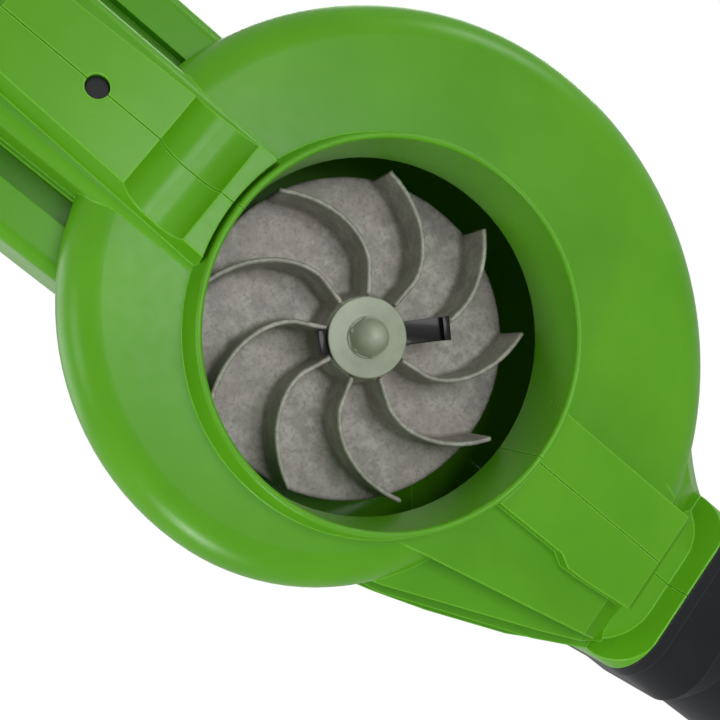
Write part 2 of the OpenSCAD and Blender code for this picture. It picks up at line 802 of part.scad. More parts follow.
module brush_holders() {
    color([0.78, 0.62, 0.30]) for (a = [0, 180]) rotate([0, 0, a]) difference() {
        translate([commutator_r + 2, -5, can_top - cap_floor - 11 - fit]) cube([15, 10, 11]);
        translate([0, -3.1, can_top - cap_floor - 9 - fit]) cube([24, 6.2, 7]);
    }
}

module carbon_brushes() {
    color([0.15, 0.15, 0.15]) for (a = [0, 180]) rotate([0, 0, a])
        translate([commutator_r + 0.4, -3, can_top - cap_floor - 9 - fit + fit]) cube([12, 6, 6.8]);
}

commutator_r = 11;

module motor_shaft() {
    color(steel) translate([0, 0, shaft_tip_z])
        cylinder(h = shaft_top - shaft_tip_z, r = shaft_r);
}

module on_shaft(z, h, r) {
    translate([0, 0, z]) difference() {
        cylinder(h = h, r = r);
        translate([0, 0, -1]) cylinder(h = h + 2, r = shaft_r);
    }
}

module armature_core() {
    color(steel) difference() {
        on_shaft(motor_z + 18, 30, armature_r);
        for (a = [15:30:345]) rotate([0, 0, a]) translate([armature_r - 7, -1.5, 0])
            cube([10, 3, big]);
    }
}

// Winding heads above and below the core
module armature_windings() {
    color(copper) for (z = [motor_z + 12, motor_z + 48 + fit]) difference() {
        translate([0, 0, z]) rotate_extrude() {
            translate([shaft_r + 2, 0]) square([13, 6 - fit]);
            translate([shaft_r + 15, 2.95]) circle(2.9);
        }
        translate([0, 0, z - 1]) cylinder(h = 10, r = shaft_r + 1);
    }
    color(copper) for (a = [15:30:345]) rotate([0, 0, a])
        translate([armature_r - 7 + fit, -1.4, motor_z + 17]) cube([5, 2.8, 32]);
}

module commutator() {
    z = can_top - cap_floor - 11.5;
    color(copper) difference() {
        on_shaft(z, 11, commutator_r);
        for (a = [0:30:330]) rotate([0, 0, a]) translate([commutator_r - 1, -0.3, z - 1])
            cube([3, 0.6, 13]);
    }
}

module cooling_fan() {
    color(black) {
        on_shaft(fan2_z, fan2_h, 9);
        difference() {
            union() {
                translate([0, 0, fan2_z]) cylinder(h = 1.6, r = 30);
                for (a = [0:36:324]) rotate([0, 0, a]) translate([8, -0.8, fan2_z])
                    cube([21, 1.6, fan2_h]);
            }
            translate([0, 0, fan2_z - 1]) cylinder(h = 20, r = shaft_r + 1);
        }
    }
}

// Where a blade's centre line stands at each radius: straight at first, then swept back
blade_root = 33;
function blade_a(r) = r < blade_root ? 0
    : -blade_sweep * pow((r - blade_root) / (fan_r - blade_root), 1.3);
function blade_lean(r) = r <= blade_root ? 0 : atan(r * 1.3 * blade_sweep * PI / 180
    * pow((r - blade_root) / (fan_r - blade_root), 0.3) / (fan_r - blade_root));
function blade_point(r, side) = r * unit(blade_a(r))
    + side * blade_t / 2 * unit(blade_a(r) + 90 - blade_lean(r));
blade_radii = concat([hub_r - 4, 24, 30], [for (i = [0:10]) blade_root + i * (fan_r - 1 - blade_root) / 10]);

module blade() {
    translate([0, 0, fan_z0]) linear_extrude(blade_h + 1)
        polygon(concat([for (r = blade_radii) blade_point(r, 1)],
            [for (i = [len(blade_radii) - 1:-1:0]) blade_point(blade_radii[i], -1)]));
}

module impeller() {
    color(casting) difference() {
        union() {
            translate([0, 0, disc_z]) cylinder(h = disc_t, r = fan_r);
            translate([0, 0, hub_z]) cylinder(h = disc_z - hub_z + 1, r1 = hub_r, r2 = hub_root_r);
            for (i = [0:blade_n - 1]) rotate([0, 0, blade_phase + i * 360 / blade_n]) blade();
        }
        translate([0, 0, hub_z - 20]) cylinder(h = big, r = shaft_r);
        // The blades' roots are cut away under the washer and the bar
        translate([0, 0, fan_z0 - 1]) cylinder(h = hub_z - fan_z0 + 1, r = washer_r + 0.8);
        // The bar lies in a slot across the blades' roots
        rotate([0, 0, bar_a]) translate([-bar_short - 1, -bar_w / 2 - 0.5, fan_z0 - 1])
            cube([bar_short + bar_long + 2, bar_w + 1, hub_z - fan_z0 + 1]);
    }
}

blade_phase = -46.5;
bar_a = -45;

module shredder_bar() {
    color(black) rotate([0, 0, bar_a]) translate([0, 0, hub_z - bar_t]) difference() {
        union() {
            translate([-bar_short + 1, -bar_w / 2, 0]) cube([bar_short + bar_long - 2, bar_w, bar_t]);
            // Ends turned down towards the intake
            translate([bar_long - 3, -bar_w / 2, -5]) cube([3, bar_w, 5 + bar_t]);
            translate([-bar_short, -bar_w / 2, -5]) cube([2.6, bar_w, 5 + bar_t]);
        }
        translate([0, 0, -1]) cylinder(h = bar_t + 2, r = shaft_r);
    }
}

module hub_washer() {
    color(nylon) on_shaft(washer_z, washer_t, washer_r);
}

module cap_nut() {
    z = washer_z - nut_h;
    color(nylon) difference() {
        union() {
            translate([0, 0, z]) cylinder(h = nut_h, r1 = nut_r - 1.2, r2 = nut_r);
            translate([0, 0, z]) scale(nut_r - 1.2) sphere(1);
        }
        translate([0, 0, shaft_tip_z]) cylinder(h = 30, r = shaft_r);
        translate([0, 0, washer_z - fit / 2]) cylinder(h = 20, r = nut_r);
    }
}

module controller_board() {
    color([0.10, 0.35, 0.18]) box(board_x0, -chamber_r - 6, board_w, board_z, board_z + 1.6);
    color(black) for (i = [0:3]) translate([board_x0 + 8 + 14 * i, seam_y - 26, board_z + 1.6])
        cube([9, 9, 6]);
}

module controller_heatsink() {
    color(steel) difference() {
        box(board_x0 + 8, -chamber_r - 12, 12, board_z + 1.6 + fit, board_z + 15);
        for (i = [0:5]) box(board_x0 + 11 + 9 * i, board_x0 + 16 + 9 * i, 13, board_z + 5, board_z + 20);
    }
}

module motor_leads() {
    r = 2.2;
    reach = sqrt(pow(can_r, 2) - 64);
    color("red") for (s = [-1, 1]) translate([-chamber_r - 9, seam_y + s * 8, lead_z])
        rotate([0, 90, 0]) cylinder(h = chamber_r + 9 - reach - 0.8, r = r);
}

// Leads from the switch through the rear post to the controller
module power_leads() {
    r = 2.2;
    low = bay_z1 + 3 + r + 1;
    turn = 9;
    end_x = board_x0 + 3;
    color("red") for (s = [-1, 1]) translate([0, s * 4, 0]) {
        bar_x(-post_rear + bend_r, -77, grip_z, r, r);
        translate([-post_rear + bend_r, seam_y, grip_z - bend_r]) mirror([1, 0, 0])
            rotate([90, 0, 0]) rotate_extrude(angle = 90) translate([bend_r, 0]) circle(r);
        translate([-post_rear, seam_y, low + turn]) cylinder(h = grip_z - bend_r - low - turn, r = r);
        translate([-post_rear + turn, seam_y, low + turn]) rotate([90, 180, 0])
            rotate_extrude(angle = 90) translate([turn, 0]) circle(r);
        bar_x(-post_rear + turn, end_x - turn, low, r, r);
        translate([end_x - turn, seam_y, low - turn]) rotate([90, 0, 0])
            rotate_extrude(angle = 90) translate([turn, 0]) circle(r);
        translate([end_x, seam_y, board_z + 1.6 + fit])
            cylinder(h = low - turn - board_z - 1.6 - fit, r = r);
    }
}

module battery_dock() {
    color(black) difference() {
        union() {
            box(-pack_x + 0.5, -pack_x + 6, dock_w, dock_z0, dock_z1);
            box(-pack_x + 4 + fit, -pack_x + 7, dock_w + 3, dock_z0 - 3, dock_z1 + 3);
        }
        for (i = [0:3]) translate([-pack_x - 1, seam_y - 18.4 + 12 * i - fit, pack_z + 27 - fit])
            cube([20, 0.8 + 2 * fit, 10 + 2 * fit]);
    }
}

module dock_blades() {
    color([0.8, 0.65, 0.3]) for (i = [0:3]) translate([-pack_x - 7, seam_y - 18.4 + 12 * i, pack_z + 27])
        cube([11, 0.8, 10]);
}

module pack_outside(z0, z1, inset) {
    rounded_bar(-pack_end + inset, -pack_x - inset, pack_w - inset, pack_z + inset,
        pack_z + pack_h - inset, 6 - inset);
}

pack_split = 44;

module pack_shell() {
    difference() {
        pack_outside(0, 0, 0);
        pack_outside(0, 0, 2.5);
        for (i = [0:3]) translate([-pack_x - 6, seam_y - 18.4 + 12 * i - 0.6, pack_z + 26])
            cube([20, 2, 12]);
        translate([-pack_end + 18, seam_y, pack_z + pack_h - 6]) cylinder(h = 20, r = 9 + slip);
        // Finger hollows on both sides of the free end
        for (s = [-1, 1]) translate([-pack_end + 18, seam_y + s * (pack_w + 32), pack_z])
            cylinder(h = pack_h, r = 33.2);
    }
}

module battery_base() {
    color(black) intersection() {
        pack_shell();
        box(-big, big, 100, 0, pack_z + pack_split);
    }
}

module battery_lid() {
    color([0.16, 0.17, 0.18]) {
        intersection() {
            pack_shell();
            box(-big, big, 100, pack_z + pack_split, big);
        }
        // Cup under the release button
        translate([-pack_end + 18, seam_y, pack_z + pack_h - 16]) difference() {
            cylinder(h = 16 - 2, r = 9 + slip + 1.6);
            translate([0, 0, 1.6]) cylinder(h = 30, r = 9 + slip);
        }
    }
}

cell_pitch = 2 * cell_r + 1;
cells_x = -pack_x - 2.5 - 3 - cell_r - 4;
cells_z = pack_z + 2.5 + cell_r + 1.4;

module battery_cells() {
    color(steel) for (i = [0:4], k = [0, 1])
        translate([cells_x - i * cell_pitch, seam_y + cell_len / 2, cells_z + k * cell_pitch])
        rotate([90, 0, 0]) cylinder(h = cell_len, r = cell_r);
}

module cell_holders() {
    color([0.2, 0.22, 0.25]) for (s = [-1, 1]) difference() {
        translate([cells_x - 4 * cell_pitch - cell_r - 1, seam_y + s * (cell_len / 2 - 8) - 3,
            pack_z + 2.5 + fit]) cube([4 * cell_pitch + 2 * cell_r + 2, 6, cell_pitch + 2 * cell_r + 2.6]);
        for (i = [0:4], k = [0, 1])
            translate([cells_x - i * cell_pitch, 0, cells_z + k * cell_pitch])
            rotate([90, 0, 0]) cylinder(h = big, r = cell_r + fit, center = true);
    }
}

pack_board_z = pack_z + 2.5 + fit + cell_pitch + 2 * cell_r + 2.6 + fit;

module battery_board() {
    color([0.10, 0.35, 0.18]) box(cells_x - 3 * cell_pitch, -pack_x - 3.5, 26, pack_board_z,
        pack_board_z + 1.6);
}

module battery_contacts() {
    color([0.8, 0.65, 0.3]) for (i = [0:3]) difference() {
        translate([-pack_x - 8.9, seam_y - 18 + 12 * i - 2.5, pack_z + 26])
            cube([6, 5, pack_board_z - fit - pack_z - 26]);
        translate([-pack_x - 10, seam_y - 18 + 12 * i - 0.8, pack_z + 25]) cube([9, 1.6, 13.5]);
    }
}

module pack_button() {
    color(lever_orange) translate([-pack_end + 18, seam_y, pack_z + pack_h - 6]) {
        cylinder(h = 9, r = 9);
        translate([0, 0, 8]) cylinder(h = 2, r1 = 9, r2 = 7.5);
    }
}

module spring_sleeve(r, h) { tube(r, r - 0.9, h); }

module pack_button_spring() {
    color(steel) translate([-pack_end + 18, seam_y, pack_z + pack_h - 14.4 + 0.1])
        spring_sleeve(5, 8.1);
}

module speed_switch() {
    color(black) {
        box(-75, -27, 9, grip_z - 9.5, grip_z + 9.5);
        box(-27, -21.5, 3, grip_z - 6, grip_z - 3);
    }
}

// Trigger seen from the side: pivot eye, arm and a hollowed finger face
module trigger() {
    eye = 5;
    color(black) translate([0, seam_y, 0]) rotate([90, 0, 0]) difference() {
        translate([0, 0, -trigger_w]) linear_extrude(2 * trigger_w) {
            translate([pivot_x, pivot_z]) circle(eye);
            difference() {
                polygon([[pivot_x + 2, pivot_z + 3], [slot_x0 + 4, pivot_z + 1],
                    [slot_x0 + 4, pivot_z - 14], [slot_x0 + 7, pivot_z - 27],
                    [slot_x0 + 15, pivot_z - 28], [pivot_x, pivot_z - 13],
                    [pivot_x + 4, pivot_z - 3]]);
                translate([8, pivot_z - 43]) circle(24);
            }
        }
        translate([pivot_x, pivot_z, -20]) cylinder(h = 40, r = 2.5 - fit / 2 + running);
    }
}

module trigger_pin() {
    color(steel) translate([pivot_x, seam_y + 13.5, pivot_z]) rotate([90, 0, 0])
        cylinder(h = 27, r = 2.5 - fit / 2);
}

module trigger_spring() {
    z = pivot_z + 1.7;
    color(steel) translate([-12, seam_y, z]) spring_sleeve(4, grip_z + grip_r - 3.6 - z);
}

module cruise_lever() {
    color(lever_orange) translate([lever_x, seam_y - lever_seat_y - slip, grip_z]) rotate([90, 0, 0]) {
        difference() {
            union() {
                cylinder(h = 4, r = lever_r);
                rotate([0, 0, 118]) translate([0, -4, 0]) cube([26, 8, 5]);
                rotate([0, 0, 118]) translate([26, 0, 0]) cylinder(h = 7, r = 4);
            }
            translate([0, 0, 2.6]) cylinder(h = 4, r = 5);
        }
        translate([0, 0, -10]) cylinder(h = 11, r = spindle_r);
    }
}

module boost_button() {
    color(lever_orange) translate([button_x, seam_y, button_floor + 9]) {
        cylinder(h = 10, r = button_r);
        translate([0, 0, 9]) cylinder(h = 2, r1 = button_r, r2 = button_r - 1.5);
    }
}

module boost_spring() {
    color(steel) translate([button_x, seam_y, button_floor + 2.1]) spring_sleeve(4, 6.6);
}

module grip_sleeve(side) {
    color([0.13, 0.13, 0.14]) intersection() {
        difference() {
            bar_x(sleeve_x0 + fit, sleeve_x0 + sleeve_len - fit, grip_z, grip_r + 0.6, grip_r + 0.6);
            bar_x(-big, big, grip_z, grip_r - sleeve_t + fit, grip_r - sleeve_t + fit);
            for (i = [0:8]) translate([sleeve_x0 + 10 + 10 * i, seam_y, grip_z]) rotate([0, 90, 0])
                tube(grip_r + 2, grip_r + 0.1, 4);
        }
        translate([-big, side > 0 ? seam_y + 0.15 : seam_y - 0.15 - big, 0]) cube([2 * big, big, big]);
    }
}

module grip_left() { grip_sleeve(1); }

module grip_right() { grip_sleeve(-1); }

module interlock_plunger() {
    color(black) translate([-plunger_x, seam_y, 3]) {
        cylinder(h = keel_z + wall + 8, r = plunger_r);
        translate([0, 0, keel_z + wall - 3 + slip]) cylinder(h = 2, r = plunger_r + 2.4);
    }
}

module interlock_spring() {
    color(steel) translate([-plunger_x, seam_y, keel_z + wall + slip + 2.2])
        spring_sleeve(plunger_r + 2.2, 9);
}

module interlock_switch() {
    z = keel_z + wall + slip + 2.2 + 9.3;
    color(black) difference() {
        box(-plunger_x - 16, -plunger_x + 9, 9, z, body_z - fit);
        translate([-plunger_x, seam_y, z - 1]) cylinder(h = 4.4, r = plunger_r + 0.6);
    }
}

module housing_screws() {
    color(steel) for (j = joints) translate([j[0], seam_y, j[1]]) rotate([90, 0, 0]) {
        translate([0, 0, -j[2] + 4]) cylinder(h = 2 * j[2] - 8 + 0.1, r = 1.9);
        translate([0, 0, j[2] - 4 + 0.05]) cylinder(h = 2.4, r = 3.6);
    }
}

// Blow tube: spigot in the neck, square coupling, and a long round taper
module upper_tube() {
    front = coupling_x + coupling_len;
    in = wall + slip;
    color(black) difference() {
        union() {
            neck_run(mouth_x - 30, coupling_x + 2, in);
            neck_bar(coupling_x, coupling_x + 6, mouth_w, mouth_h, mouth_corner);
            neck_bar(coupling_x + 4, front, mouth_w - 2, mouth_h - 5, mouth_corner + 2);
            // Shoulder from the square coupling to the round tube
            bar_x(front - 1, front + 16, neck_z, tube_r + 4, tube_r);
            bar_x(front, tube_x, neck_z, tube_r, tube_end_r);
        }
        neck_run(mouth_x - 31, front - tube_wall, in + tube_wall);
        bar_x(front - 2 * tube_wall, tube_x + 1, neck_z, tube_r - tube_wall, tube_end_r - tube_wall);
        // Hollow behind the shoulder of the coupling
        difference() {
            neck_bar(coupling_x - 1, front - tube_wall, mouth_w - 2 - tube_wall,
                mouth_h - 5 - tube_wall, mouth_corner + 2 - tube_wall);
            neck_run(coupling_x - 2, front, in);
        }
        // Window for the lock button
        translate([button2_x, seam_y, neck_z + mouth_h - 9]) cylinder(h = 20, r = 8 + slip);
    }
}

button2_x = coupling_x + 20;

function tube_radius(x) = tube_r + (tube_end_r - tube_r) * (x - coupling_x - coupling_len)
    / (tube_x - coupling_x - coupling_len);

// Round button on top of the coupling, and the spring under it
spigot_top = neck_z + neck_h - wall - slip;

module tube_button() {
    color(lever_orange) {
        translate([button2_x, seam_y, spigot_top + 6]) cylinder(h = 4, r = 8);
        translate([button2_x, seam_y, spigot_top + 9]) cylinder(h = 2, r1 = 8, r2 = 6.5);
    }
}

module tube_button_spring() {
    color(steel) translate([button2_x, seam_y, spigot_top + 0.2]) spring_sleeve(5, 5.5);
}

// Nozzle: a sleeve over the tube, a taper, and a flat mouth
module nozzle() {
    mid_x = nozzle_x0 + 190;
    mid_r = 33;
    sleeve_r = tube_radius(nozzle_x0) + slip;
    color(black) {
        translate([0, seam_y, neck_z]) rotate([0, 90, 0]) rotate_extrude()
            polygon([[sleeve_r, nozzle_x0], [sleeve_r + tube_wall + 1.2, nozzle_x0],
                [sleeve_r + tube_wall + 1.2, nozzle_x0 + 10], [sleeve_r + tube_wall, nozzle_x0 + 12],
                [sleeve_r + tube_wall, tube_x + 6], [mid_r, mid_x], [mid_r - tube_wall, mid_x],
                [tube_end_r - 1.5, tube_x + 8], [tube_end_r - 1.5, tube_x + slip],
                [sleeve_r, tube_x + slip]]);
        difference() {
            nozzle_flare(0, mid_r, mid_x);
            nozzle_flare(tube_wall, mid_r, mid_x);
        }
    }
}

module nozzle_flare(inset, r, x0) {
    translate([0, seam_y, neck_z]) hull() {
        translate([x0 - (inset > 0 ? 1 : 0), 0, 0]) rotate([0, 90, 0])
            cylinder(h = 1, r = r - inset, $fn = 48);
        translate([nozzle_x1 - 1 + (inset > 0 ? 2 : 0), 0, 0]) rotate([90, 0, 90]) linear_extrude(1)
            for (s = [-1, 1]) translate([s * (nozzle_w - nozzle_h), 0])
            circle(nozzle_h - inset, $fn = 32);
    }
}

left_housing();
right_housing();
motor_cover();
fan_back_plate();
plate_screws();
motor_can();
motor_magnets();
motor_end_cap();
brush_holders();
carbon_brushes();
front_bearing();
rear_bearing();
motor_screws();
motor_shaft();
armature_core();
armature_windings();
commutator();
cooling_fan();
impeller();
shredder_bar();
hub_washer();
cap_nut();
controller_board();
controller_heatsink();
motor_leads();
power_leads();
battery_dock();
dock_blades();
battery_base();
battery_lid();
battery_cells();
cell_holders();
battery_board();
battery_contacts();
pack_button();
pack_button_spring();
speed_switch();
trigger();
trigger_pin();
trigger_spring();
cruise_lever();
boost_button();
boost_spring();
grip_left();
grip_right();
interlock_plunger();
interlock_spring();
interlock_switch();
housing_screws();
upper_tube();
tube_button();
tube_button_spring();
nozzle();
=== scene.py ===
# Cordless leaf blower vacuum, seen from below the open intake.
# Every length is in metres, in the frame of the CAD model.
import math

import bpy
from mathutils import Matrix, Vector


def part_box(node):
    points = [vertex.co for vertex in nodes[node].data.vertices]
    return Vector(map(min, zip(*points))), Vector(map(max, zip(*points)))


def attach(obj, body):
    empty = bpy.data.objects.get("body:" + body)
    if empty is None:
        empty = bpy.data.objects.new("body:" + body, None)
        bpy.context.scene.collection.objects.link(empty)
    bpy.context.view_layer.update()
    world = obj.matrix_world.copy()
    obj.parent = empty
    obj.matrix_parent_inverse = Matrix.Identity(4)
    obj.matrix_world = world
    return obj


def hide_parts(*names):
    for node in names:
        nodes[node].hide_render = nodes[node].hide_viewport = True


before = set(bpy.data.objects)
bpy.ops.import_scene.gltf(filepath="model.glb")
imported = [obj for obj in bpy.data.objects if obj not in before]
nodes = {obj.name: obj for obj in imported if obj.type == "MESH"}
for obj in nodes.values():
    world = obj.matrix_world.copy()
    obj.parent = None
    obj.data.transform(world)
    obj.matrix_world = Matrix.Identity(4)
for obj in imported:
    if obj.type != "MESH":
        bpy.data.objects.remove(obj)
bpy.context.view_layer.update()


# The two halves of the blower's housing. They are injection moulded in green plastic with a
# satin skin, meet on the seam along the handle, and are held together by screws.
class Value:
    """A shader socket that can be used in Python expressions."""

    def __init__(self, tree, socket):
        self.tree, self.socket = tree, socket

    def math(self, operation, other):
        node = self.tree.nodes.new("ShaderNodeMath")
        node.operation = operation
        connect(self.tree, self, node.inputs[0])
        connect(self.tree, other, node.inputs[1])
        return Value(self.tree, node.outputs[0])

    def __add__(self, other): return self.math("ADD", other)
    def __sub__(self, other): return self.math("SUBTRACT", other)
    def __mul__(self, other): return self.math("MULTIPLY", other)
    __radd__, __rmul__ = __add__, __mul__


def connect(tree, term, socket):
    """Link a value to a socket, or write a constant into it."""
    if isinstance(term, Value):
        tree.links.new(term.socket, socket)
    else:
        socket.default_value = term


def colour(red, green, blue):
    return (red, green, blue, 1.0)


MIX_INPUTS = (0, 6, 7)  # a Mix node's factor and its two colours
MIX_OUTPUT = 2  # its mixed colour
BEVEL_SAMPLES = 6
FLAT, SHARP = 0.995, 0.85  # cosine of the bend at which an edge mark starts, and is full: enamel chips, and painted edge highlights


class Finish:
    """A material under construction: its node tree and its Principled shader."""

    def __init__(self, name, **constants):
        self.material = bpy.data.materials.new(name)
        self.material.use_nodes = True
        self.tree = self.material.node_tree
        self.shader = self.tree.nodes["Principled BSDF"]
        self.place = self.node("ShaderNodeTexCoord", out="Object")
        self.set(**constants)

    def node(self, kind, out=0, **sockets):
        """A new node's output; an input's name has an underscore for each space."""
        made = self.tree.nodes.new(kind)
        for name, value in sockets.items():
            connect(self.tree, value, made.inputs[name.replace("_", " ")])
        return Value(self.tree, made.outputs[out])

    def noise(self, size, detail=2.0, rough=0.5, stretch=None):
        """Cloudy noise from 0 to 1 whose blobs are about size metres across."""
        at = self.place
        if stretch:
            at = self.node("ShaderNodeMapping", Vector=self.place, Scale=stretch)
        return self.node("ShaderNodeTexNoise", Vector=at, Scale=1 / size, Detail=detail,
                         Roughness=rough)

    def ramp(self, value, low, high):
        """0 where the value is low, 1 where it is high, and even steps between."""
        return self.node("ShaderNodeMapRange", Value=value, From_Min=low, From_Max=high)

    def mix(self, factor, first, second):
        """A colour between the first, at factor 0, and the second, at factor 1."""
        made = self.tree.nodes.new("ShaderNodeMix")
        made.data_type = "RGBA"
        for value, place in zip((factor, first, second), MIX_INPUTS):
            connect(self.tree, value, made.inputs[place])
        return Value(self.tree, made.outputs[MIX_OUTPUT])

    def rounded(self, radius):
        """Normal of the surface with its sharp edges rounded to a radius."""
        normal = self.node("ShaderNodeBevel", Radius=radius)
        normal.socket.node.samples = BEVEL_SAMPLES
        return normal

    def edge(self, radius):
        """1 on sharp edges and 0 on the open surface."""
        bend = self.tree.nodes.new("ShaderNodeVectorMath")
        bend.operation = "DOT_PRODUCT"
        connect(self.tree, self.rounded(radius), bend.inputs[0])
        connect(self.tree, self.node("ShaderNodeNewGeometry", out="Normal"), bend.inputs[1])
        return self.ramp(Value(self.tree, bend.outputs["Value"]), FLAT, SHARP)

    def bump(self, height, depth, normal):
        return self.node("ShaderNodeBump", Height=height, Distance=depth, Normal=normal)

    def set(self, **sockets):
        """Connect or write the Principled shader's own inputs."""
        for name, value in sockets.items():
            connect(self.tree, value, self.shader.inputs[name.replace("_", " ")])

    def onto(self, *names):
        """Give the finish to CAD nodes."""
        for name in names:
            for slot in nodes[name].material_slots:
                slot.material = self.material


def moulded(name, base, tone, roughness, grain=0.00045, depth=0.00002, edge=0.0009, shine=0.5):
    """Moulded plastic: cloudy tone, fine spark grain, and softly rounded edges with a painted
    highlight.
    """
    finish = Finish(name, Specular_IOR_Level=shine)
    cloud = finish.noise(0.055, detail=3.0)
    scuffs = finish.noise(0.006, detail=5.0, rough=0.65)
    # The edges are painted paler: a painted highlight standing in for light caught on rounded
    # edges
    painted_edge_highlight = finish.edge(edge)
    shade = finish.mix(finish.ramp(cloud, 0.35, 0.65), base, tone)
    pale = colour(*(min(1.0, 1.9 * part + 0.04) for part in tone[:3]))
    finish.set(
        Base_Color=finish.mix(painted_edge_highlight * 0.8, shade, pale),
        Roughness=roughness + 0.07 * finish.ramp(scuffs, 0.4, 0.7) - 0.04 * cloud,
        Normal=finish.bump(finish.noise(grain, detail=1.0), depth, finish.rounded(edge)))
    return finish


moulded("satin green plastic", colour(0.095, 0.36, 0.006), colour(0.118, 0.41, 0.01),
        roughness=0.3, edge=0.0012, shine=0.3).onto("left_housing", "right_housing")


# Everything moulded in black: the vented cap over the motor, the blow tube with its square
# coupling, the flat nozzle, the trigger, the plunger, and the battery dock and its base. The
# battery's lid and the holders inside it are dark grey.
COARSE = {"grain": 0.0007, "depth": 0.00004}
moulded("black grained plastic", colour(0.009, 0.010, 0.012), colour(0.015, 0.016, 0.019),
        roughness=0.4, shine=0.22, **COARSE).onto(
    "motor_cover", "motor_end_cap", "battery_dock", "battery_base", "speed_switch", "trigger",
    "interlock_plunger", "interlock_switch", "upper_tube", "nozzle", "cooling_fan")
moulded("dark grey grained plastic", colour(0.045, 0.047, 0.05), colour(0.058, 0.06, 0.064),
        roughness=0.48, **COARSE).onto("battery_lid", "cell_holders")


# The controls that the user finds by colour: cruise lever, boost button, battery release and
# tube lock. They are moulded in orange plastic and stand proud of the black and green parts.
moulded("orange plastic", colour(0.72, 0.105, 0.012), colour(0.8, 0.13, 0.018),
        roughness=0.36).onto("pack_button", "cruise_lever", "boost_button", "tube_button")


# The soft sleeves round the grip. They are ribbed rubber, snapped into a recess in the halves,
# and have the dull, slightly dusty look of a soft moulding.
rubber = Finish("soft ribbed rubber", Specular_IOR_Level=0.3)
dust = rubber.ramp(rubber.noise(0.012, detail=4.0), 0.45, 0.75)
rubber.set(
    Base_Color=rubber.mix(dust * 0.5, colour(0.016, 0.016, 0.018), colour(0.045, 0.044, 0.043)),
    Roughness=0.68 + 0.12 * dust,
    Normal=rubber.bump(rubber.noise(0.0005, detail=2.0), 0.00005, rubber.rounded(0.0006)))
rubber.onto("grip_left", "grip_right")


# The fan wheel is one light alloy die casting: nine swept blades on a disc, with a conical
# hub. Casting leaves round edges, fillets at the roots and a mottled grey skin.
MERGE = 0.00001  # vertices closer than this are one


def copy_of(node, name):
    """A merged copy of a CAD node's mesh, selected and active, ready to be worked on."""
    bpy.ops.object.select_all(action="DESELECT")
    piece = nodes[node].copy()
    piece.data = nodes[node].data.copy()
    piece.name = name
    bpy.context.collection.objects.link(piece)
    piece.select_set(True)
    bpy.context.view_layer.objects.active = piece
    bpy.ops.object.mode_set(mode="EDIT")
    bpy.ops.mesh.select_all(action="SELECT")
    bpy.ops.mesh.remove_doubles(threshold=MERGE)
    bpy.ops.mesh.normals_make_consistent(inside=False)
    bpy.ops.object.mode_set(mode="OBJECT")
    return piece


def apply_modifier(piece, kind, **settings):
    modifier = piece.modifiers.new(kind.title(), kind)
    for key, value in settings.items():
        setattr(modifier, key, value)
    bpy.ops.object.modifier_apply(modifier=modifier.name)


def melt_edges(piece, grid, rounds):
    """Round every edge and corner, as a mould leaves them: a new skin, then smoothed."""
    apply_modifier(piece, "REMESH", mode="VOXEL", voxel_size=grid, adaptivity=0.0)
    apply_modifier(piece, "SMOOTH", factor=0.5, iterations=rounds)
    bpy.ops.object.shade_smooth()


def rides_for(piece, body, node, finish):
    """The piece stands for a CAD node on its body, in one finish."""
    piece.data.materials.clear()
    piece.data.materials.append(finish.material)
    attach(piece, body)
    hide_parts(node)


casting = Finish("die cast alloy", Specular_IOR_Level=0.6)
patches = casting.noise(0.03, detail=4.0, rough=0.6)
mottle = casting.noise(0.009, detail=6.0, rough=0.62)
specks = casting.noise(0.0019, detail=4.0, rough=0.7)
# Edges go paler, more metallic and glossier: partly rubbed bright metal, partly a painted
# highlight
rubbed_and_highlit_edge = casting.edge(0.0011)
skin = casting.mix(casting.ramp(mottle, 0.42, 0.6), colour(0.375, 0.355, 0.325),
                   colour(0.59, 0.57, 0.525))
skin = casting.mix(0.5 * casting.ramp(patches, 0.42, 0.62), skin, colour(0.47, 0.425, 0.38))
skin = casting.mix(0.7 * casting.ramp(specks, 0.49, 0.69), skin, colour(0.25, 0.23, 0.205))
casting.set(
    Base_Color=casting.mix(0.85 * rubbed_and_highlit_edge, skin, colour(0.9, 0.89, 0.86)),
    Metallic=0.12 + 0.4 * rubbed_and_highlit_edge,
    Roughness=0.44 + 0.18 * mottle - 0.16 * rubbed_and_highlit_edge,
    Normal=casting.bump(0.6 * mottle + 0.4 * specks, 0.0003, casting.rounded(0.0012)))
wheel = copy_of("impeller", "fan_wheel")
melt_edges(wheel, grid=0.00095, rounds=3)
rides_for(wheel, "rotor", "impeller", casting)


# The shredder bar is a steel flat, turned down at both ends and coated glossy black. It lies
# in a slot across the hub and breaks up twigs before they reach the blades.
FACET = math.radians(2)  # facets that meet at less than this are one face
CORNER = math.radians(40)  # edges sharper than this are broken
SMOOTH = math.radians(35)  # and edges blunter than this are shaded smooth


def break_edges(piece):
    """Take the sharpness off a machined or moulded piece's corners."""
    apply_modifier(piece, "BEVEL", width=0.0006, segments=3, limit_method="ANGLE",
                   angle_limit=CORNER)
    bpy.ops.object.shade_smooth_by_angle(angle=SMOOTH)


